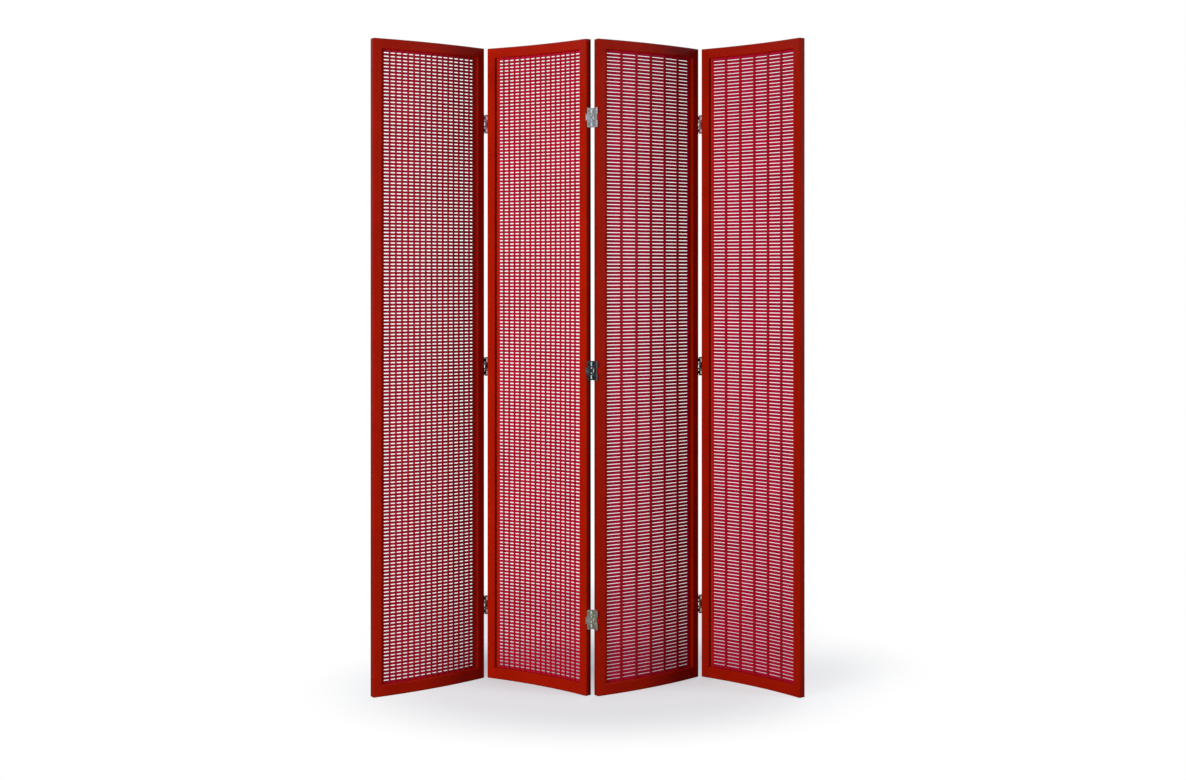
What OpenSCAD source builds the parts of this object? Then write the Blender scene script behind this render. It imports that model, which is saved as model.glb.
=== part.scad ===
// Four-panel folding screen with bowed lattice panels on double-acting hinges.
// Millimetres, +Z up. The screen stands on z = 0 in an open zigzag, seen from
// its front when looking along +Y. The origin lies on the floor, in the middle
// of the space that the standing screen takes up.
// Panels are numbered 1 to 4 from the left. Panels 1 and 3 swell towards the
// front and panels 2 and 4 towards the back, so that they nest when folded.

/* [Screen] */
// Height of every panel
screen_h = 1750; // [1400:10:1900]
// Width of a panel from outer edge to outer edge
panel_w = 355; // [300:5:420]
// Radius of each panel's bow, at half the frame's thickness
bow_r = 1100; // [900:50:3000]

/* [Stance] */
// Turn of panel 1 away from the line of the screen, in degrees
first_turn = 39.9; // [20:0.1:50]
// Fold of the valley between panels 1 and 2, in degrees from flat
fold_12 = 76.8; // [50:0.1:100]
// Fold of the ridge between panels 2 and 3, in degrees from flat
fold_23 = 76.3; // [50:0.1:100]
// Fold of the valley between panels 3 and 4, in degrees from flat
fold_34 = 83.7; // [50:0.1:100]

/* [Frame] */
// Thickness of stiles and rails
frame_t = 20; // [19:0.5:26]
// Width of a stile
stile_w = 26; // [24:1:40]
// Height of a top rail
top_rail_h = 28; // [24:1:50]
// Height of a bottom rail
bottom_rail_h = 32; // [24:1:60]
// Rounding along the edges of stiles and rails
edge_r = 3.5; // [1:0.5:3.5]
// Rounding of a stile's outer top and bottom corners
corner_r = 4; // [2:0.5:6]
// Thickness of the rail tenons
tenon_t = 8; // [6:0.5:10]
// Length of the rail tenons
tenon_l = 14; // [8:1:15]
// Step from a rail's edges to its tenon
tenon_step = 8; // [7:0.5:9]
// Clearance round a tenon in its mortise
tenon_clear = 0.1; // [0.05:0.05:0.3]

/* [Lattice] */
// Distance from one slat to the next
slot_pitch = 9.4; // [8:0.1:12]
// Open height between two slats on panels 1 and 2
fine_slot_h = 3.3; // [2:0.1:4.5]
// Open height between two slats on panels 3 and 4
coarse_slot_h = 2.2; // [2:0.1:4.5]
// Thickness of the slat board along its sides
board_t = 4; // [3:0.5:5]
// Step on either face from the board's sides to its slats
slat_step = 0.2; // [0.1:0.05:0.4]
// Depth from the frame's back face to the slat board
board_setback = 7; // [5:0.5:8]
// Plain strip of board between the frame and the ends of the open slots
board_margin = 8.5; // [3:0.5:12]
// Depth of the groove in the frame that takes the board's edges
groove_d = 5; // [3:0.5:6]
// Clearance of the board in its groove
board_clear = 0.15; // [0.1:0.05:0.3]
// Thickness of the ribs in front of the slats
rib_t = 2; // [1:0.5:3]
// Film of glue between the ribs and the slats
glue_film = 0.3; // [0.2:0.05:0.4]
// Number of ribs on panels 1 and 2
fine_ribs = 15; // [7:1:17]
// Width of those ribs
fine_rib_w = 5; // [3:0.5:7]
// Number of ribs on panels 3 and 4
coarse_ribs = 5; // [3:1:9]
// Width of those ribs
coarse_rib_w = 8; // [5:0.5:12]
// Width of the outermost windows between ribs, as a share of the others
end_window = 0.9; // [0.7:0.05:1]

/* [Hinges] */
// Height of a hinge
hinge_h = 52; // [45:1:80]
// Distance from a panel's top to the top hinge's middle
top_hinge_inset = 210; // [120:1:300]
// Distance from half the panel's height down to the middle hinge's middle
middle_hinge_drop = 9; // [0:1:100]
// Distance from a panel's bottom to the bottom hinge's middle
bottom_hinge_inset = 203; // [120:1:300]
// Gap between two neighbouring panels when they lie flat
panel_gap = 7; // [7:0.5:12]
// Distance of the pins' axes from the panel faces
pin_out = 1; // [1:0.5:4]
// Radius of a pin
pin_r = 1.2; // [1:0.1:1.4]
// Running clearance round a pin
pin_clear = 0.05; // [0.02:0.01:0.1]
// Outer radius of a knuckle
knuckle_r = 2.6; // [2.4:0.1:2.8]
// Thickness of a leaf
leaf_t = 2; // [1.5:0.1:2]
// Width of a leaf on the panel's edge
leaf_w = 13; // [11:0.5:13]
// Thickness of a link plate
link_t = 2; // [1.5:0.1:2.2]
// Gap along the pin between neighbouring knuckles
knuckle_gap = 0.4; // [0.3:0.1:0.6]
// Radius of a screw's shank
screw_r = 1.3; // [1:0.1:1.5]
// Radius of a screw's head
screw_head_r = 2.6; // [2.2:0.1:2.8]
// Length of a screw from its head's face
screw_l = 12; // [8:1:13]
// Clearance round a screw
screw_clear = 0.1; // [0.05:0.05:0.2]

/* [Hidden] */
$fn = 48;
bow_fn = 360;
cut = 1;
panels = [0, 1, 2, 3];
folds = [-fold_12, fold_23, -fold_34];
pin_y = frame_t / 2 + pin_out;
half_gap = panel_gap / 2;

// The bow runs between the stiles, and a stile lies straight along its end.
edge_lean = asin(panel_w / 2 / norm([bow_r, stile_w])) - atan2(stile_w, bow_r);
bow_y = bow_r * cos(edge_lean) - stile_w * sin(edge_lean);

// Offsets from the frame's middle, counted towards the front
board_back = board_setback - frame_t / 2;
board_front = board_back + board_t;
rib_back = board_front - slat_step + glue_film;
rib_front = rib_back + rib_t;

// The slots fill the opening at one pitch, with two equal strips left over.
opening_h = screen_h - top_rail_h - bottom_rail_h;
slots = floor(opening_h / slot_pitch);
first_slot = bottom_rail_h + (opening_h - (slots - 1) * slot_pitch) / 2;
slot_lean = edge_lean - asin(board_margin / bow_r);
board_reach = groove_d - 2 * board_clear;
board_lean = edge_lean + asin(board_reach / bow_r);

// Three thirds of a hinge lie above one another.
thirds = [-1, 0, 1];
third = hinge_h / 3;
knuckle_h = third / 2;
finger_h = (third - knuckle_h - 3 * knuckle_gap) / 2;
finger_z = (knuckle_h + finger_h) / 2 + knuckle_gap;
part_h = third - knuckle_gap;
hinge_heights = [
    bottom_hinge_inset, screen_h / 2 - middle_hinge_drop, screen_h - top_hinge_inset];
leaf_corner_r = 1.5;
link_w = leaf_w - 2 * leaf_corner_r;
pin_ease = 0.3;
head_depth = 0.7 * leaf_t;
screw_tip = 2 * screw_r;
recess_w = screw_head_r;
recess_t = screw_head_r / 5;

// Plan of the standing screen. Side -1 is a panel's left edge and side 1 its
// right edge, and face 1 is its front face and face -1 its back face.
function along(a) = [cos(a), sin(a)];
function out(a) = [sin(a), -cos(a)];
function swell(i) = i % 2 == 0 ? 1 : -1;
function hinged(i, side) = i + side >= 0 && i + side <= len(folds);
function turn(i) = i == 0 ? first_turn : turn(i - 1) + folds[i - 1];
function edge_turn(i, side) = turn(i) + side * swell(i) * edge_lean;
function edge_at(i, side) = side > 0 ? edge_at(i, -1) + panel_w * along(turn(i))
    : i == 0 ? [0, 0]
    : pin_at(i - 1, 1, swell(i - 1))
        + half_gap * along(edge_turn(i, -1))
        - swell(i - 1) * pin_y * out(edge_turn(i, -1));
function gap_at(i, side) = edge_at(i, side) + side * half_gap * along(edge_turn(i, side));
function pin_at(i, side, face) = gap_at(i, side) + face * pin_y * out(edge_turn(i, side));

// The outermost rounds of the plan: stile corners and hinge knuckles
corner_rounds = [for (i = panels, side = [-1, 1], face = [-1, 1])
    edge_at(i, side) - side * edge_r * along(edge_turn(i, side))
    + face * (frame_t / 2 - edge_r) * out(edge_turn(i, side))];
knuckle_rounds = [for (i = panels, side = [-1, 1], face = [-1, 1])
    if (hinged(i, side)) pin_at(i, side, face)];
function low(k) = min(
    min([for (p = corner_rounds) p[k] - edge_r]),
    min([for (p = knuckle_rounds) p[k] - knuckle_r]));
function high(k) = max(
    max([for (p = corner_rounds) p[k] + edge_r]),
    max([for (p = knuckle_rounds) p[k] + knuckle_r]));
middle = [(low(0) + high(0)) / 2, (low(1) + high(1)) / 2];

// Places a piece drawn about the middle of panel i's chord
module on_panel(i) {
    mid = (edge_at(i, -1) + edge_at(i, 1)) / 2 - middle;
    translate([mid[0], mid[1], 0]) rotate([0, 0, turn(i)]) children();
}

// Places a piece drawn about the gap's middle, with the panel on its -X side
module on_edge(i, side) {
    at = gap_at(i, side) - middle;
    translate([at[0], at[1], 0]) rotate([0, 0, edge_turn(i, side)])
        mirror([side > 0 ? 0 : 1, 0, 0]) children();
}

// Places a piece drawn about a stile's inner face, with +X towards the gap
module on_stile(i, side) {
    mirror([side > 0 ? 0 : 1, 0, 0])
        translate([bow_r * sin(edge_lean), swell(i) * (bow_y - bow_r * cos(edge_lean)), 0])
            rotate([0, 0, swell(i) * edge_lean]) children();
}

module rounded(w, h, r) {
    square([w - 2 * r, h], center = true);
    square([w, h - 2 * r], center = true);
    for (x = [-1, 1], y = [-1, 1])
        translate([x * (w / 2 - r), y * (h / 2 - r)]) circle(r);
}

// A profile swept along the bow between two angles from the panel's middle
module bowed(i, from_a, to_a) {
    translate([0, swell(i) * bow_y, 0])
        rotate([0, 0, -swell(i) * 90 + from_a])
            rotate_extrude(angle = to_a - from_a, $fn = bow_fn) children();
}

// The profile of a strip between two offsets counted towards the front
module strip(i, near, far, h) {
    r_1 = bow_r + swell(i) * near;
    r_2 = bow_r + swell(i) * far;
    translate([min(r_1, r_2), 0]) square([abs(r_2 - r_1), h]);
}

// The frame: rails stand between the stiles, on tenons
module tenon(h, grow) {
    translate([-cut, -tenon_t / 2 - grow, tenon_step - grow])
        cube([tenon_l + cut + 2 * grow, tenon_t + 2 * grow, h - 2 * tenon_step + 2 * grow]);
}

// A stile's plan, square towards the opening and rounded on its outer side
module stile_plan() {
    translate([stile_w / 2, 0]) rounded(stile_w, frame_t, edge_r);
    translate([0, -frame_t / 2]) square([stile_w / 2, frame_t]);
}

// The waste that is cut off a stile's inner edges along the opening
module inner_waste() {
    for (face = [-1, 1])
        translate([0, face * frame_t / 2, bottom_rail_h])
            linear_extrude(opening_h) difference() {
                square(2 * edge_r, center = true);
                translate([edge_r, -face * edge_r]) circle(edge_r);
            }
}

module stile(i, side) {
    groove_h = opening_h + 2 * groove_d;
    hole_l = screw_l - leaf_t + screw_clear;
    color("firebrick") on_panel(i) on_stile(i, side) difference() {
        intersection() {
            linear_extrude(screen_h) stile_plan();
            translate([0, 0, screen_h / 2]) rotate([90, 0, 0])
                linear_extrude(frame_t + 2 * cut, center = true)
                    rounded(2 * stile_w, screen_h, corner_r);
            translate([0, 0, screen_h / 2]) rotate([90, 0, 90])
                linear_extrude(2 * stile_w + 2 * cut, center = true)
                    rounded(frame_t, screen_h, edge_r);
        }
        inner_waste();
        tenon(bottom_rail_h, tenon_clear);
        translate([0, 0, screen_h - top_rail_h]) tenon(top_rail_h, tenon_clear);
        translate([-cut, -board_front - board_clear, bottom_rail_h - groove_d])
            cube([groove_d + cut, board_t + 2 * board_clear, groove_h]);
        if (hinged(i, side))
            for (z = hinge_heights, k = thirds)
                translate([stile_w - hole_l, 0, z + k * third]) rotate([0, 90, 0])
                    cylinder(r = screw_r + screw_clear, h = hole_l + cut);
    }
}

// A rail with its groove on the side that faces the lattice
module rail(i, h, groove_z) {
    color("firebrick") on_panel(i) {
        difference() {
            bowed(i, -edge_lean, edge_lean)
                translate([bow_r, h / 2]) rounded(frame_t, h, edge_r);
            translate([0, 0, groove_z]) bowed(i, -2 * edge_lean, 2 * edge_lean)
                strip(i, board_back - board_clear, board_front + board_clear, groove_d + cut);
        }
        for (side = [-1, 1]) on_stile(i, side) tenon(h, 0);
    }
}

module top_rail(i) {
    translate([0, 0, screen_h - top_rail_h]) rail(i, top_rail_h, -cut);
}

module bottom_rail(i) {
    rail(i, bottom_rail_h, bottom_rail_h - groove_d);
}

// The slatted board: its plain sides stand a small step proud of the slats.
module slat_board(i, slot_h) {
    board_h = opening_h + 2 * board_reach;
    color("brown") on_panel(i) difference() {
        translate([0, 0, bottom_rail_h - board_reach])
            bowed(i, -board_lean, board_lean) strip(i, board_back, board_front, board_h);
        translate([0, 0, bottom_rail_h - board_reach - cut]) {
            bowed(i, -slot_lean, slot_lean)
                strip(i, board_front - slat_step, board_front + cut, board_h + 2 * cut);
            bowed(i, -slot_lean, slot_lean)
                strip(i, board_back - cut, board_back + slat_step, board_h + 2 * cut);
        }
        bowed(i, -slot_lean, slot_lean)
            for (k = [0:slots - 1])
                translate([0, first_slot + k * slot_pitch - slot_h / 2])
                    strip(i, board_back - cut, board_front + cut, slot_h);
    }
}

// Upright ribs in front of the slats, with windows of one width between them
module ribs(i, count, w) {
    half_a = asin(w / 2 / bow_r);
    step_a = 2 * slot_lean / (count - 1 + 2 * end_window);
    color("maroon") on_panel(i) for (k = [0:count - 1]) {
        at_a = (k + end_window) * step_a - slot_lean;
        translate([0, 0, bottom_rail_h + glue_film])
            bowed(i, at_a - half_a, at_a + half_a)
                strip(i, rib_back, rib_front, opening_h - 2 * glue_film);
    }
}

// The hinges: two leaves, and links that cross from front pins to back pins
module knuckle_bore(y, h) {
    translate([0, y, -h / 2 - cut]) cylinder(r = pin_r + pin_clear, h = h + 2 * cut);
}

// Two fingers of a leaf that reach round a link's knuckle on one face
module fingers(face) {
    for (k = [-1, 1]) translate([0, 0, k * finger_z]) difference() {
        union() {
            translate([0, -face * pin_y, -finger_h / 2]) cylinder(r = knuckle_r, h = finger_h);
            linear_extrude(finger_h, center = true) polygon([
                [-half_gap, -face * (leaf_w / 2 - leaf_corner_r)],
                [leaf_t - half_gap, -face * (leaf_w / 2 - leaf_corner_r)],
                [0, -face * (pin_y - 0.8 * knuckle_r)],
                [0, -face * pin_y],
                [-half_gap, -face * (pin_y - 0.4 * knuckle_r)]]);
        }
        knuckle_bore(-face * pin_y, finger_h);
    }
}

// A hole through a leaf with its countersink towards the gap
module leaf_hole() {
    hole_r = screw_r + screw_clear;
    sink_r = screw_head_r + screw_clear;
    translate([-half_gap, 0, 0]) rotate([0, 90, 0]) rotate_extrude() polygon([
        [0, -cut], [hole_r, -cut], [hole_r, leaf_t - head_depth],
        [sink_r, leaf_t], [sink_r, leaf_t + cut], [0, leaf_t + cut]]);
}

// One leaf: a third of the hinge listed in front_thirds has its fingers on
// the front face, and any other third has them on the back face.
module leaf(front_thirds) {
    difference() {
        union() {
            translate([-half_gap, 0, 0]) rotate([90, 0, 90])
                linear_extrude(leaf_t) rounded(leaf_w, hinge_h, leaf_corner_r);
            for (k = thirds) translate([0, 0, k * third])
                fingers(len(search(k, front_thirds)) > 0 ? 1 : -1);
        }
        for (k = thirds) translate([0, 0, k * third]) leaf_hole();
    }
}

module link() {
    difference() {
        union() {
            translate([-link_t / 2, -link_w / 2, -part_h / 2]) cube([link_t, link_w, part_h]);
            translate([-link_t / 2, -pin_y, -knuckle_h / 2]) cube([link_t, 2 * pin_y, knuckle_h]);
            for (y = [-pin_y, pin_y]) translate([0, y, -knuckle_h / 2])
                cylinder(r = knuckle_r, h = knuckle_h);
        }
        for (y = [-pin_y, pin_y]) knuckle_bore(y, knuckle_h);
    }
}

module pin() {
    translate([0, 0, -part_h / 2]) rotate_extrude() polygon([
        [0, 0], [pin_r - pin_ease, 0], [pin_r, pin_ease],
        [pin_r, part_h - pin_ease], [pin_r - pin_ease, part_h], [0, part_h]]);
}

module screw() {
    translate([leaf_t - half_gap, 0, 0]) rotate([0, -90, 0]) difference() {
        rotate_extrude() polygon([
            [0, 0], [screw_head_r, 0], [screw_r, head_depth],
            [screw_r, screw_l - screw_tip], [screw_r / 3, screw_l], [0, screw_l]]);
        for (a = [0, 90]) rotate([0, 0, a])
            cube([recess_w, recess_t, head_depth], center = true);
    }
}

module leaves(i, side) {
    color("silver") on_edge(i, side) for (z = hinge_heights)
        translate([0, 0, z]) leaf(side > 0 ? [0] : [-1, 1]);
}

module links(i, side, at_thirds) {
    color("silver") on_edge(i, side) for (z = hinge_heights, k = at_thirds)
        translate([0, 0, z + k * third]) link();
}

module pins(i, side, face, at_thirds) {
    color("gray") on_edge(i, side) for (z = hinge_heights, k = at_thirds)
        translate([0, -face * pin_y, z + k * third]) pin();
}

module screws(i, side) {
    color("gray") on_edge(i, side) for (z = hinge_heights, k = thirds)
        translate([0, 0, z + k * third]) screw();
}

// A middle link joins the left panel's front pin to the right panel's back
// pin, and an outer link joins the other two. A valley folds about its front
// pins and the ridge about its back pins, and each link stays with the panel
// whose other pin it holds. Hinge i lies between panel i and its right
// neighbour.
module middle_links(i) {
    if (swell(i) > 0) links(i + 1, -1, [0]);
    else links(i, 1, [0]);
}

module outer_links(i) {
    if (swell(i) > 0) links(i, 1, [-1, 1]);
    else links(i + 1, -1, [-1, 1]);
}

module axis_pins(i) {
    pins(i, 1, swell(i), thirds);
}

module left_still_pins(i) {
    pins(i, 1, -swell(i), swell(i) > 0 ? [-1, 1] : [0]);
}

module right_still_pins(i) {
    pins(i + 1, -1, -swell(i), swell(i) > 0 ? [0] : [-1, 1]);
}

stile(0, -1);  // panel_1_left_stile
stile(0, 1);  // panel_1_right_stile
top_rail(0);  // panel_1_top_rail
bottom_rail(0);  // panel_1_bottom_rail
slat_board(0, fine_slot_h);  // panel_1_slat_board
ribs(0, fine_ribs, fine_rib_w);  // panel_1_ribs
stile(1, -1);  // panel_2_left_stile
stile(1, 1);  // panel_2_right_stile
top_rail(1);  // panel_2_top_rail
bottom_rail(1);  // panel_2_bottom_rail
slat_board(1, fine_slot_h);  // panel_2_slat_board
ribs(1, fine_ribs, fine_rib_w);  // panel_2_ribs
stile(2, -1);  // panel_3_left_stile
stile(2, 1);  // panel_3_right_stile
top_rail(2);  // panel_3_top_rail
bottom_rail(2);  // panel_3_bottom_rail
slat_board(2, coarse_slot_h);  // panel_3_slat_board
ribs(2, coarse_ribs, coarse_rib_w);  // panel_3_ribs
stile(3, -1);  // panel_4_left_stile
stile(3, 1);  // panel_4_right_stile
top_rail(3);  // panel_4_top_rail
bottom_rail(3);  // panel_4_bottom_rail
slat_board(3, coarse_slot_h);  // panel_4_slat_board
ribs(3, coarse_ribs, coarse_rib_w);  // panel_4_ribs
leaves(0, 1);  // hinge_12_left_leaves
leaves(1, -1);  // hinge_12_right_leaves
middle_links(0);  // hinge_12_middle_links
outer_links(0);  // hinge_12_outer_links
axis_pins(0);  // hinge_12_axis_pins
left_still_pins(0);  // hinge_12_left_still_pins
right_still_pins(0);  // hinge_12_right_still_pins
screws(0, 1);  // hinge_12_left_screws
screws(1, -1);  // hinge_12_right_screws
leaves(1, 1);  // hinge_23_left_leaves
leaves(2, -1);  // hinge_23_right_leaves
middle_links(1);  // hinge_23_middle_links
outer_links(1);  // hinge_23_outer_links
axis_pins(1);  // hinge_23_axis_pins
left_still_pins(1);  // hinge_23_left_still_pins
right_still_pins(1);  // hinge_23_right_still_pins
screws(1, 1);  // hinge_23_left_screws
screws(2, -1);  // hinge_23_right_screws
leaves(2, 1);  // hinge_34_left_leaves
leaves(3, -1);  // hinge_34_right_leaves
middle_links(2);  // hinge_34_middle_links
outer_links(2);  // hinge_34_outer_links
axis_pins(2);  // hinge_34_axis_pins
left_still_pins(2);  // hinge_34_left_still_pins
right_still_pins(2);  // hinge_34_right_still_pins
screws(2, 1);  // hinge_34_left_screws
screws(3, -1);  // hinge_34_right_screws
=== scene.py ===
# %% [markdown]
# # A slatted folding screen
#
# The object is a room screen of four tall wooden panels. Each panel is a slim
# frame around a lattice of slats, and each is bowed, like the stave of a large
# barrel. The whole screen is lacquered in one warm red. This lesson dresses the
# solids of that screen: it sets up a studio, then gives every kind of piece its
# own finish.
#
# The solids come in as a fixed frame. Their places and shapes are final, so
# nothing here moves them.

import math

import bpy
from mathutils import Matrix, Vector

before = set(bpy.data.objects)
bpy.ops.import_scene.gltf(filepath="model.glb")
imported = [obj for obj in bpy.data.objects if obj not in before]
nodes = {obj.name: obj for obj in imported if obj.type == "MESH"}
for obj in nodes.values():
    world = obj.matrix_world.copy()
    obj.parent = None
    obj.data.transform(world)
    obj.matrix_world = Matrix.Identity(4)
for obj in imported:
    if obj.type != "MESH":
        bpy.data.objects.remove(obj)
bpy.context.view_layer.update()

# %% [markdown]
# ## The camera
#
# The photograph was taken with a level camera: all uprights of the screen run
# straight down the picture. A camera could be tilted down to frame the screen
# like that, but it would squeeze the uprights together. So the camera looks
# straight ahead and its lens is shifted. The focal length, the middle and the
# horizon, in pixels of the photograph, and the place of the eye, in metres, were
# worked out from the edges of the four panels.

# %% Camera
PHOTO_W = 1186
PHOTO_H = 780
FOCAL_PX = 1735.2
MIDDLE_X = 640.7
HORIZON_Y = 271.4
SENSOR_MM = 36.0
EYE = (0.1414, -4.7271, 1.1303)
LOOK_AHEAD = (math.radians(90), 0, 0)

lens = bpy.data.cameras.new("photo_lens")
lens.sensor_width = SENSOR_MM
lens.lens = FOCAL_PX / PHOTO_W * SENSOR_MM
lens.shift_x = (PHOTO_W / 2 - MIDDLE_X) / PHOTO_W
lens.shift_y = (HORIZON_Y - PHOTO_H / 2) / PHOTO_W
camera = bpy.data.objects.new("photo_camera", lens)
camera.location = EYE
camera.rotation_euler = LOOK_AHEAD
bpy.context.collection.objects.link(camera)
bpy.context.scene.camera = camera
bpy.context.scene.view_settings.view_transform = "Standard"
print(f"lens {lens.lens:.2f} mm, shift {lens.shift_x:.4f}, {lens.shift_y:.4f}")

# %% [markdown]
# ## Colours as a screen shows them
#
# A colour that is read off a picture is written in the numbers of a display, 0 to
# 255. The renderer counts in linear light, where half as much light is half the
# number. Colours could be written in linear numbers from the start, but then
# they couldn't be set beside the photograph. So one helper turns the first kind
# into the second, by the usual curve of a display.

# %% Colour helper
def shown(r, g, b):
    """A colour as a display shows it, 0 to 255, in linear numbers."""
    def linear(v):
        v = v / 255
        return v / 12.92 if v <= 0.04045 else ((v + 0.055) / 1.055) ** 2.4
    return (linear(r), linear(g), linear(b), 1.0)


WHITE = (1.0, 1.0, 1.0, 1.0)
print(f"a display's middle grey is {shown(128, 128, 128)[0]:.3f} of white's light")

# %% [markdown]
# ## Short words for nodes
#
# Every finish below is a small network of nodes. Nodes can be added and linked
# one by one, but that takes four lines for each. The helpers here say it in one:
# a socket is fed with a number, with another socket or with a whole node, which
# stands for its first output.

# %% Node helpers
def feed(tree, socket, value):
    """Fill a socket: link it to a node or a socket, or set it to a value."""
    if isinstance(value, bpy.types.Node):
        value = value.outputs[0]
    if isinstance(value, bpy.types.NodeSocket):
        tree.links.new(value, socket)
    else:
        socket.default_value = value


def add(tree, kind, *feeds, **named):
    """A new node. feeds fill its first sockets; named are settings and sockets."""
    node = tree.nodes.new(kind)
    for name, value in named.items():
        if hasattr(node, name):
            setattr(node, name, value)
        else:
            feed(tree, node.inputs[name.replace("_", " ")], value)
    for socket, value in zip(node.inputs, feeds):
        feed(tree, socket, value)
    return node


def empty_material(name):
    """A material with only its output, its tree, and that output node."""
    material = bpy.data.materials.new(name)
    material.use_nodes = True
    tree = material.node_tree
    tree.nodes.clear()
    return material, tree, tree.nodes.new("ShaderNodeOutputMaterial")


print("node helpers:", feed.__name__, add.__name__, empty_material.__name__)

# %% [markdown]
# Three nodes come back in almost every finish, so they have words of their own:
# a ramp from one number to another, a colour that is made lighter or darker, and
# a colour between two others. A Mix node has sockets for numbers, directions and
# colours side by side, so the ones for colours are picked by their places.

# %% Ramps and mixes
MIX_FACTOR, MIX_FIRST, MIX_SECOND = 0, 6, 7
MIX_RESULT = 2


def ramp(tree, value, start, end, low, high, smooth=False):
    """A number that goes from low to high while value goes from start to end."""
    return add(tree, "ShaderNodeMapRange", value, start, end, low, high,
               interpolation_type="SMOOTHSTEP" if smooth else "LINEAR")


def scaled(tree, colour, factor):
    """The same colour, lighter or darker by a factor."""
    return add(tree, "ShaderNodeVectorMath", colour, operation="SCALE", Scale=factor)


def mix_colours(tree, factor, first, second):
    """The socket of a colour that lies between two others."""
    mix = add(tree, "ShaderNodeMix", data_type="RGBA")
    feed(tree, mix.inputs[MIX_FACTOR], factor)
    feed(tree, mix.inputs[MIX_FIRST], first)
    feed(tree, mix.inputs[MIX_SECOND], second)
    return mix.outputs[MIX_RESULT]


print("words for the nodes that come back:", ramp.__name__, scaled.__name__,
      mix_colours.__name__)

# %% [markdown]
# ## The floor
#
# The screen stands on a white sweep whose far part can't be told from the white
# behind it. A floor lit that brightly would also flood the red wood with light.
# So the floor has two sides to it. To the camera it is a white glow laid over
# pale paint. To every other ray it is a darker floor.
#
# A glow hides every shadow. So it gives way to the paint in three soft ovals,
# which are painted shadow: round the screen's foot, behind it, where the floor
# shows through the lowest slots, and at its right. There the floor is painted
# darker, and the lamps' own shadow shows in it too. Each has a middle and a reach
# in metres, the share of its reach at which it starts to fade, and the share of
# the glow that it takes away. The ovals fit the screen as it stands here, and
# stay where they are when it folds.

# %% Painted shadow ovals
# Each row is a patch of painted shadow on the floor.
PAINTED_SHADOWS = (((0.02, 0.03), (0.84, 0.70), 0.45, 0.40),
         ((0.00, 0.75), (0.76, 0.95), 0.55, 0.34),
         ((0.70, 0.27), (0.30, 0.45), 0.00, 0.20))


def painted_shadow(tree, place, middle, reach, fade, depth):
    """Painted shadow on the floor, elliptical: depth up to fade, none from its reach
    on.
    """
    moved = add(tree, "ShaderNodeVectorMath", place, (*middle, 0.0),
                operation="SUBTRACT")
    sized = add(tree, "ShaderNodeVectorMath", moved, (*reach, 1.0), operation="DIVIDE")
    away = add(tree, "ShaderNodeVectorMath", sized, operation="LENGTH")
    return ramp(tree, away.outputs["Value"], fade, 1.0, depth, 0.0, smooth=True)


print(len(PAINTED_SHADOWS), "soft ovals")

# %% Floor
FLOOR_SIZE = 18.0
FLOOR_PAINT = shown(226, 238, 255)
FLOOR_TO_OTHERS = (0.16, 0.16, 0.165, 1.0)
FLOOR_ROUGHNESS = 0.8
FLOOR_SHINE = 0.1

bpy.ops.mesh.primitive_plane_add(size=FLOOR_SIZE, location=(0, 0, 0))
floor = bpy.context.object
floor.name = "floor"
white_floor, tree, out = empty_material("white_floor")
to_camera = add(tree, "ShaderNodeLightPath").outputs["Is Camera Ray"]
paint = add(tree, "ShaderNodeBsdfPrincipled",
            Base_Color=mix_colours(tree, to_camera, FLOOR_TO_OTHERS, FLOOR_PAINT),
            Roughness=FLOOR_ROUGHNESS, Specular_IOR_Level=FLOOR_SHINE)
glow = add(tree, "ShaderNodeEmission", Color=WHITE, Strength=1.0)
place = add(tree, "ShaderNodeTexCoord").outputs["Object"]
glow_left_by_painted_shadows = 1.0
# Each patch of painted shadow takes its share of the glow away.
for shape in PAINTED_SHADOWS:
    glow_left_by_painted_shadows = add(tree, "ShaderNodeMath", glow_left_by_painted_shadows, painted_shadow(tree, place, *shape),
                operation="SUBTRACT")
seen = add(tree, "ShaderNodeMath", to_camera, glow_left_by_painted_shadows, operation="MULTIPLY")
feed(tree, out.inputs["Surface"], add(tree, "ShaderNodeMixShader", seen, paint, glow))
floor.data.materials.append(white_floor)
print("floor", FLOOR_SIZE, "m wide")

# %% [markdown]
# ## The world round the screen
#
# The world does three jobs. To the camera it is plain white. For soft light, it
# is a lit white wall behind the screen, which shines into the slots from behind,
# and a dim room in front. Lacquer and metal mirror what stands before them, and
# there the mirrored rays find a studio whose room and wall are equally dim. That
# is what keeps the red deep. Only two things shine in it, both cool: the ceiling,
# which shows as a veil on the tops of all panels, and a window far to the right,
# which the two panels that turn that way mirror.
#
# A studio could be built of walls and lamps for this. A few ramps do the same
# and render faster: Generated is the direction that a ray goes in, from -1 to 1
# along each axis, and each ramp says where in it a light begins and is full.

# %% World
ROOM_LIGHT = 0.02
WALL_LIGHT = 0.5
WALL_FROM, WALL_FULL = 0.45, 0.85
SOFT_TINT = (1.0, 0.99, 1.0, 1.0)
world = bpy.data.worlds.new("studio")
bpy.context.scene.world = world
world.use_nodes = True
tree = world.node_tree
tree.nodes.clear()
out = tree.nodes.new("ShaderNodeOutputWorld")
ray = add(tree, "ShaderNodeLightPath")
facing = add(tree, "ShaderNodeTexCoord").outputs["Generated"]
toward = add(tree, "ShaderNodeSeparateXYZ", facing)


def front_to_back(front, back):
    """A brightness that goes from the room in front to the wall behind."""
    return ramp(tree, toward.outputs["Y"], WALL_FROM, WALL_FULL, front, back,
                smooth=True)


soft = add(tree, "ShaderNodeBackground", Color=SOFT_TINT,
           Strength=front_to_back(ROOM_LIGHT, WALL_LIGHT))
print("soft light", ROOM_LIGHT, "in front and", WALL_LIGHT, "behind")

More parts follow.
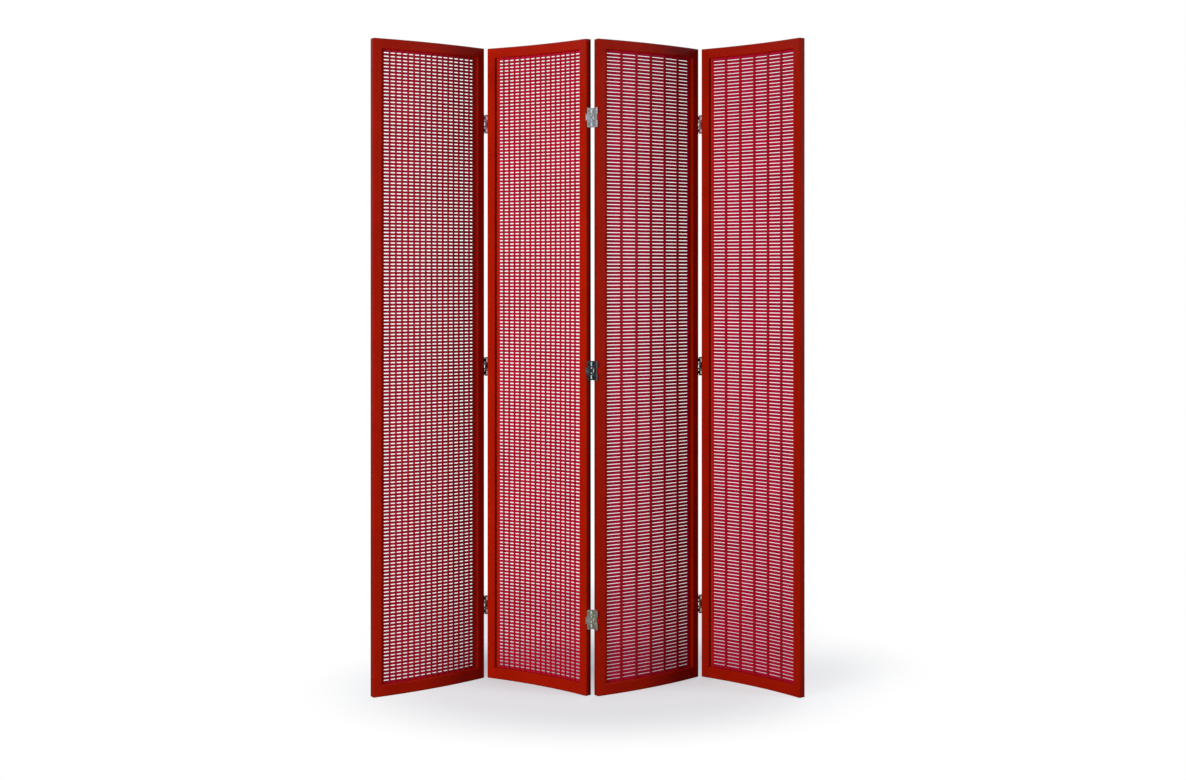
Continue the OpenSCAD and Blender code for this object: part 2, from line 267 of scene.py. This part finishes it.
# %% What is mirrored
ROOM_MIRRORED = 0.4
WALL_MIRRORED = 0.4
STUDIO_GREY = (0.8, 0.8, 0.8, 1.0)
CEILING_MIRRORED = 0.9
CEILING_FROM, CEILING_FULL = 0.03, 0.28
WINDOW_MIRRORED = 0.5
WINDOW_FROM, WINDOW_FULL = 0.6, 0.98
COOL = (0.74, 0.82, 1.0, 1.0)
dim = add(tree, "ShaderNodeBackground", Color=STUDIO_GREY,
          Strength=front_to_back(ROOM_MIRRORED, WALL_MIRRORED))
ceiling = ramp(tree, toward.outputs["Z"], CEILING_FROM, CEILING_FULL,
               0.0, CEILING_MIRRORED, smooth=True)
window = ramp(tree, toward.outputs["X"], WINDOW_FROM, WINDOW_FULL,
              0.0, WINDOW_MIRRORED, smooth=True)
shining = add(tree, "ShaderNodeMath", ceiling, window, operation="ADD")
cool = add(tree, "ShaderNodeBackground", Color=COOL, Strength=shining)
mirrored = add(tree, "ShaderNodeAddShader", dim, cool)
plain_white = add(tree, "ShaderNodeBackground", Color=WHITE, Strength=1.0)
around = add(tree, "ShaderNodeMixShader", ray.outputs["Is Glossy Ray"], soft, mirrored)
all_rays = add(tree, "ShaderNodeMixShader", ray.outputs["Is Camera Ray"], around,
               plain_white)
feed(tree, out.inputs["Surface"], all_rays)
print("mirrored: studio", WALL_MIRRORED, "ceiling", CEILING_MIRRORED,
      "window", WINDOW_MIRRORED)

# %% [markdown]
# ## The lamps
#
# The lamps are large soft boxes. The main one stands near, in front and to the
# left: panels that turn to the left are lighter, each left stile throws a narrow
# shadow on its lattice, and each right stile shows a lit inner side. The second
# one stands far round to the right and lifts the other panels, and a weak third
# one lights the backs. Small lamps would be simpler, but their shadows have hard
# edges that the photograph doesn't show. Their levels are set so that a plain
# colour renders about as it is written, and none of them is mirrored.
#
# Each box is placed by its turn from straight in front and its rise, in degrees,
# and its distance; then come its width, height and level.

# %% Lamps
AIM = Vector((0, 0, 0.9))
SOFT_BOXES = {"main_box": (-36, 5, 3.7, 1.3, 1.4, 0.94),
              "fill_box": (71, 5, 3.2, 0.9, 1.4, 0.38),
              "back_box": (155, 22, 3.6, 1.6, 2.4, 0.40)}


def soft_box(name, turn_deg, rise_deg, distance, wide, tall, level):
    """An oblong lamp that points at the screen's middle. Level 1 is plain light."""
    lamp = bpy.data.lights.new(name, "AREA")
    lamp.shape = "RECTANGLE"
    lamp.size = wide
    lamp.size_y = tall
    lamp.energy = level * math.pi ** 2 * distance ** 2
    turn, rise = math.radians(turn_deg), math.radians(rise_deg)
    away = Vector((math.cos(rise) * math.sin(turn), -math.cos(rise) * math.cos(turn),
                   math.sin(rise)))
    box = bpy.data.objects.new(name, lamp)
    box.location = AIM + away * distance
    box.rotation_euler = (-away).to_track_quat("-Z", "Y").to_euler()
    box.visible_camera = False
    box.visible_glossy = False
    bpy.context.collection.objects.link(box)
    print(name, "at", [round(v, 2) for v in box.location], f"{lamp.energy:.0f} W")


for name, numbers in SOFT_BOXES.items():
    soft_box(name, *numbers)

# %% [markdown]
# ## The grain of the wood
#
# The screen is of a fine, straight-grained wood. A picture of wood could be laid
# on it, but it would need a picture and a way to wrap it round every stick. A
# noise that is stretched along the wood gives the grain without either. It is
# made in the piece's own space, so it stays in place when the panel swings.
#
# Grain runs up a stile and along a rail. A rail lies at its panel's angle, so
# the space is first turned back by that angle. A second noise, which isn't
# stretched, stands for the slow changes in the thickness of the coat.

# %% Grain
GRAIN_ACROSS = 900
GRAIN_ALONG = 14
GRAIN_UP = (GRAIN_ACROSS, GRAIN_ACROSS, GRAIN_ALONG)
GRAIN_LEVEL = (GRAIN_ALONG, GRAIN_ACROSS, GRAIN_ACROSS)
GRAIN_DETAIL, GRAIN_ROUGHNESS = 4.0, 0.6
COAT_SCALE, COAT_DETAIL = 9.0, 3.0


def turned_back(tree, coordinate, turn_deg, **named):
    """A coordinate whose X runs along a panel that stands at this angle."""
    return add(tree, "ShaderNodeMapping", coordinate,
               Rotation=(0, 0, -math.radians(turn_deg)), **named)


def grain_and_coat(tree, turn_deg, upright):
    """Two noises: the fine grain of the wood and the slow changes of its coat."""
    place = add(tree, "ShaderNodeTexCoord").outputs["Object"]
    turned = turned_back(tree, place, turn_deg)
    along = add(tree, "ShaderNodeMapping", turned,
                Scale=GRAIN_UP if upright else GRAIN_LEVEL)
    grain = add(tree, "ShaderNodeTexNoise", along, Scale=1.0, Detail=GRAIN_DETAIL,
                Roughness=GRAIN_ROUGHNESS)
    coat = add(tree, "ShaderNodeTexNoise", turned, Scale=COAT_SCALE, Detail=COAT_DETAIL)
    return grain, coat


print(f"grain {1000 / GRAIN_ACROSS:.1f} mm wide and {1000 / GRAIN_ALONG:.0f} mm long")

# %% [markdown]
# ## Red lacquer
#
# The finish is a thin satin lacquer, stained red. Close by it has three things:
# it is a little darker in the wood's pores, deeper where the coat is thicker, and
# its soft gloss is broken up by the grain. So both noises push the colour from
# the red towards a deep red, and the grain also changes the roughness and raises
# the surface by a hair. A single red with one roughness would be quicker, but it
# looks like plastic as soon as the camera comes near.
#
# A lacquer is also given a factor on both of its colours, which is painted light
# and shade: it makes the copy for one plank lighter or darker by how the lamps
# fall on it.

# %% Lacquer
PORES = (0.35, 0.70, 0.0, 0.50)
THICK_COAT = (0.30, 0.75, 0.0, 0.45)
GLOSS_FROM, GLOSS_TO = 0.3, 0.7
GLOSS_LESS, GLOSS_MORE = 0.05, 0.09
RELIEF_STRENGTH, RELIEF_DEPTH = 0.10, 0.0004
LACQUER_SHINE = 0.14


def with_painted_light_and_shade(colour, factor):
    """The same colour, lighter or darker by a factor of painted light and shade."""
    return tuple(v * factor for v in colour[:3]) + (1.0,)


def lacquer(name, light, deep, painted_light_and_shade=1.0, turn_deg=0.0, upright=True, rough=0.36):
    """Stained satin lacquer whose grain runs up, or along a turned panel."""
    material, tree, out = empty_material(name)
    grain, coat = grain_and_coat(tree, turn_deg, upright)
    depth = add(tree, "ShaderNodeMath", ramp(tree, grain, *PORES),
                ramp(tree, coat, *THICK_COAT), operation="ADD")
    # Both colours carry the factor of painted light and shade.
    colour = mix_colours(tree, depth, with_painted_light_and_shade(light, painted_light_and_shade), with_painted_light_and_shade(deep, painted_light_and_shade))
    sheen = ramp(tree, grain, GLOSS_FROM, GLOSS_TO, rough - GLOSS_LESS,
                 rough + GLOSS_MORE)
    relief = add(tree, "ShaderNodeBump", Height=grain, Strength=RELIEF_STRENGTH,
                 Distance=RELIEF_DEPTH)
    body = add(tree, "ShaderNodeBsdfPrincipled", Base_Color=colour, Roughness=sheen,
               Normal=relief, Specular_IOR_Level=LACQUER_SHINE)
    feed(tree, out.inputs["Surface"], body)
    return material


print(f"of the way to the deep red: pores up to {PORES[-1]:.0%}, "
      f"thick coat up to {THICK_COAT[-1]:.0%}")

# %% [markdown]
# ## The sides of the stiles
#
# A stile's narrow sides are painted darker than its face: painted shade. They
# could be given a material of their own, face by face, but each solid carries one
# slot. The direction that the surface faces, turned back by the panel's angle,
# tells the sides from the face instead.
#
# The lacquer is already made, so the change is put in between: the helper finds
# what feeds the shader's colour, and the changed colour takes its place.

# %% Painted shade on the sides
SIDE_FROM, SIDE_FULL = 0.6, 0.95


def shader_colour(material):
    """The material's tree, the colour socket of its shader, and what feeds it."""
    tree = material.node_tree
    body = next(n for n in tree.nodes if n.type == "BSDF_PRINCIPLED")
    socket = body.inputs["Base Color"]
    return tree, socket, socket.links[0].from_socket


def paint_shade_on_sides(material, turn_deg, depth):
    """Paint shade on the surfaces that look along the panel by darkening their colour.
    """
    tree, socket, colour = shader_colour(material)
    normal = add(tree, "ShaderNodeTexCoord").outputs["Normal"]
    facing = turned_back(tree, normal, turn_deg, vector_type="VECTOR")
    along = add(tree, "ShaderNodeSeparateXYZ", facing).outputs["X"]
    sideways = add(tree, "ShaderNodeMath", along, operation="ABSOLUTE")
    # Painted shade: 1 on the face, down to depth on the sides.
    painted_light_and_shade = ramp(tree, sideways, SIDE_FROM, SIDE_FULL, 1.0, depth, smooth=True)
    feed(tree, socket, scaled(tree, colour, painted_light_and_shade))


print(f"a side looks within {math.degrees(math.acos(SIDE_FULL)):.0f} degrees of the "
      f"panel's line, and a face beyond {math.degrees(math.acos(SIDE_FROM)):.0f}")

# %% [markdown]
# ## The planks
#
# Each stile and each rail gets a lacquer with its own factor of painted light
# and shade: planks in the valleys, turned away from the main lamp or far from it
# are painted darker, and the nearest ones lighter. The tables go from panel 1, at
# the left, to panel 4, and the panels' turns are in degrees.

# %% Stiles and rails
RED = shown(177, 28, 3)
RED_DEEP = shown(148, 17, 2)
PANEL_TURNS = (39.9, -36.9, 39.4, -44.3)
# These factors are painted light and shade, set by how the lamps fall on each plank.
STILE_PAINTED_SHADES = {"left": (1.0, 1.04, 1.0, 0.9), "right": (0.8, 1.0, 0.93, 0.9)}
SIDE_PAINTED_SHADES = (0.70, 0.85, 0.70, 0.85)
RAIL_PAINTED_SHADES = (0.93, 1.0, 0.93, 0.95)

stile_lacquers = {}
for hand, painted_lights_and_shades in STILE_PAINTED_SHADES.items():
    planks = zip(painted_lights_and_shades, PANEL_TURNS, SIDE_PAINTED_SHADES)
    for panel, (painted_light_and_shade, turn, side) in enumerate(planks, 1):
        finish = lacquer(f"{hand}_stile_lacquer_{panel}", RED, RED_DEEP, painted_light_and_shade, turn)
        paint_shade_on_sides(finish, turn, side)
        stile_lacquers[hand, panel] = finish
rail_lacquers = {}
for panel, (painted_light_and_shade, turn) in enumerate(zip(RAIL_PAINTED_SHADES, PANEL_TURNS), 1):
    rail_lacquers[panel] = lacquer(f"rail_lacquer_{panel}", RED, RED_DEEP, painted_light_and_shade, turn,
                                   upright=False)
print("stiles:", [material.name for material in stile_lacquers.values()])
print("rails:", [material.name for material in rail_lacquers.values()])

# %% [markdown]
# ## The rows of slats
#
# The slats carry the same stain, but a slat is cut from its own strip of veneer,
# so each row is a touch lighter or deeper than the next. Every row could be a
# piece with its own material, which makes hundreds of them. Instead the rows are
# counted by their height, and each count draws one random value, always the same.

# %% Rows of slats
SLAT_PITCH = 0.0094
ROW_SHADES = (0.86, 1.12)


def shade_rows(material):
    """Make each row of slats a touch lighter or deeper than the next."""
    tree, socket, colour = shader_colour(material)
    place = add(tree, "ShaderNodeTexCoord").outputs["Object"]
    height = add(tree, "ShaderNodeSeparateXYZ", place).outputs["Z"]
    rows = add(tree, "ShaderNodeMath", height, 1 / SLAT_PITCH, operation="MULTIPLY")
    row = add(tree, "ShaderNodeMath", rows, operation="ROUND")
    chance = add(tree, "ShaderNodeTexWhiteNoise", noise_dimensions="1D", W=row)
    shade = ramp(tree, chance, 0.0, 1.0, *ROW_SHADES)
    feed(tree, socket, scaled(tree, colour, shade))


print(f"a row is {1000 * SLAT_PITCH:.1f} mm high, and its colour is {ROW_SHADES[0]} to "
      f"{ROW_SHADES[1]} times the lattice's")

# %% [markdown]
# The plain strips at the lattice's sides are just under 13 mm wide, and a third
# of that is out of sight in the frame's groove. They lie against the frame and
# carry its red. They are part of the same board, so they are found by how far a
# spot is from the board's middle line. That line and the board's width are
# measured on its mesh.

# %% Plain strips
PLAIN_STRIP = 0.0129


def plain_strips(material, turn_deg, board):
    """Give the strips at both sides of a board the frame's red."""
    tree, socket, colour = shader_colour(material)
    turn = math.radians(turn_deg)
    across = [v.co.x * math.cos(turn) + v.co.y * math.sin(turn)
              for v in board.data.vertices]
    first, last = min(across), max(across)
    place = add(tree, "ShaderNodeTexCoord").outputs["Object"]
    along = add(tree, "ShaderNodeSeparateXYZ", turned_back(tree, place, turn_deg))
    off_middle = add(tree, "ShaderNodeMath", along.outputs["X"], (first + last) / 2,
                     operation="SUBTRACT")
    distance = add(tree, "ShaderNodeMath", off_middle, operation="ABSOLUTE")
    plain = add(tree, "ShaderNodeMath", distance, (last - first) / 2 - PLAIN_STRIP,
                operation="GREATER_THAN")
    feed(tree, socket, mix_colours(tree, plain, colour, RED))
    print(f"{board.name} is {1000 * (last - first):.1f} mm wide")


# %% Slats and ribs
SLAT_RED = shown(192, 20, 58)
SLAT_DEEP = shown(164, 13, 48)
# Painted light and shade for each panel's slats, by how the lamps fall on it.
SLAT_PAINTED_SHADES = (1.0, 1.08, 1.0, 0.93)
SLAT_ROUGH = 0.42
RIB_RED = shown(176, 25, 36)
RIB_DEEP = shown(148, 16, 28)
RIB_ROUGH = 0.40

slat_finishes = {}
for panel, (painted_light_and_shade, turn) in enumerate(zip(SLAT_PAINTED_SHADES, PANEL_TURNS), 1):
    finish = lacquer(f"slat_finish_{panel}", SLAT_RED, SLAT_DEEP, painted_light_and_shade, turn,
                     upright=False, rough=SLAT_ROUGH)
    shade_rows(finish)
    plain_strips(finish, turn, nodes[f"panel_{panel}_slat_board"])
    slat_finishes[panel] = finish
rib_finish = lacquer("rib_finish", RIB_RED, RIB_DEEP, rough=RIB_ROUGH)
print("slats:", [material.name for material in slat_finishes.values()])

# %% [markdown]
# ## Plated steel
#
# The hinges are small plated plates. Plating mirrors the room softly, with the
# fine lines of brushing along the plate and a dull bloom here and there. A plain
# metal with one roughness would look like new chrome. So one noise, stretched
# upright, gives the brushing as relief, and a round one makes the plating duller
# and a little darker in spots.
#
# The tone differs with height, as a painted reflection: at the ridge the top
# hinge is painted a light neutral grey, the lowest one a touch yellower, and the
# middle one dark, a painted reflection of the dim room. Three materials could be
# given to the three heights, but the leaves of all three hinges are one node.
# Height doesn't change when the screen folds, so it can tell them apart.

# %% Painted reflection by height
LOWEST_BELOW = 0.52
TOP_ABOVE = 1.22


def painted_reflection_by_height(tree, lowest, middle, top):
    """The painted reflection of the lowest, the middle or the top hinges."""
    spot = add(tree, "ShaderNodeNewGeometry").outputs["Position"]
    height = add(tree, "ShaderNodeSeparateXYZ", spot).outputs["Z"]
    off_floor = add(tree, "ShaderNodeMath", height, LOWEST_BELOW,
                    operation="GREATER_THAN")
    at_top = add(tree, "ShaderNodeMath", height, TOP_ABOVE, operation="GREATER_THAN")
    lower_two = mix_colours(tree, off_floor, lowest, middle)
    return mix_colours(tree, at_top, lower_two, top)


print("the middle hinges lie between", LOWEST_BELOW, "and", TOP_ABOVE, "m")

# %% Plating
BRUSHING = (6000, 6000, 120)
BRUSHING_DETAIL = 2.0
BRUSHING_STRENGTH, BRUSHING_DEPTH = 0.15, 0.0001
BLOOM_SCALE, BLOOM_DETAIL = 160.0, 3.0
DULL_FROM, DULL_TO = 0.35, 0.7
DULL_LESS, DULL_MORE = 0.06, 0.14
WORN = (0.3, 0.7, 1.0, 0.78)


def plated(name, lowest, middle, top, rough):
    """Satin plated steel with upright brushing and three painted reflections by height.
    """
    material, tree, out = empty_material(name)
    place = add(tree, "ShaderNodeTexCoord").outputs["Object"]
    lines = add(tree, "ShaderNodeMapping", place, Scale=BRUSHING)
    brushing = add(tree, "ShaderNodeTexNoise", lines, Scale=1.0, Detail=BRUSHING_DETAIL)
    bloom = add(tree, "ShaderNodeTexNoise", place, Scale=BLOOM_SCALE,
                Detail=BLOOM_DETAIL)
    dull = ramp(tree, bloom, DULL_FROM, DULL_TO, rough - DULL_LESS, rough + DULL_MORE)
    # The tone by height is painted reflection; the bloom's dull spots are the plating's
    # own.
    tone = scaled(tree, painted_reflection_by_height(tree, lowest, middle, top), ramp(tree, bloom, *WORN))
    relief = add(tree, "ShaderNodeBump", Height=brushing, Strength=BRUSHING_STRENGTH,
                 Distance=BRUSHING_DEPTH)
    body = add(tree, "ShaderNodeBsdfPrincipled", Base_Color=tone, Roughness=dull,
               Normal=relief, Metallic=1.0)
    feed(tree, out.inputs["Surface"], body)
    return material


print(f"bloom takes up to {1 - WORN[-1]:.0%} of the light")

# %% [markdown]
# In the two folds that point away from the camera, the plating is duller and
# painted darker and redder: painted shade, and a painted reflection of the red
# round it, more than the mirrored rays alone would give. So it has a metal of its
# own. Pins and screws are of plainer steel than the plates.

# %% Hinge metals
hinge_plating = plated("hinge_plating", shown(248, 250, 232), shown(140, 150, 150),
                       shown(238, 243, 240), rough=0.34)
pin_steel = plated("pin_steel", shown(190, 184, 172), shown(92, 96, 100),
                   shown(160, 166, 172), rough=0.38)
# Painted shade and painted reflection of red for the hinges in the two valleys.
valley_plating_painted_shade = plated("valley_plating_painted_shade", shown(180, 132, 122), shown(88, 52, 50),
                        shown(214, 160, 176), rough=0.42)
print("metals:", hinge_plating.name, valley_plating_painted_shade.name, pin_steel.name)

# %% [markdown]
# ## Giving every piece its finish
#
# A node's name says what it is and on which panel it sits, so a few questions
# about the name are enough, and no list of all the nodes is needed. Only the
# materials change: each solid keeps its place and its mesh.

# %% Dress the nodes
def finish_of(name):
    """The finish for a node of the screen."""
    if name.startswith("hinge_"):
        plating = hinge_plating if name.startswith("hinge_23") else valley_plating_painted_shade
        return plating if name.endswith(("leaves", "links")) else pin_steel
    panel = int(name.split("_")[1])
    if name.endswith("stile"):
        return stile_lacquers["left" if "left" in name else "right", panel]
    if name.endswith("rail"):
        return rail_lacquers[panel]
    return slat_finishes[panel] if name.endswith("slat_board") else rib_finish


for name, node in nodes.items():
    for slot in node.material_slots:
        slot.material = finish_of(name)
print("dressed", len(nodes), "nodes")
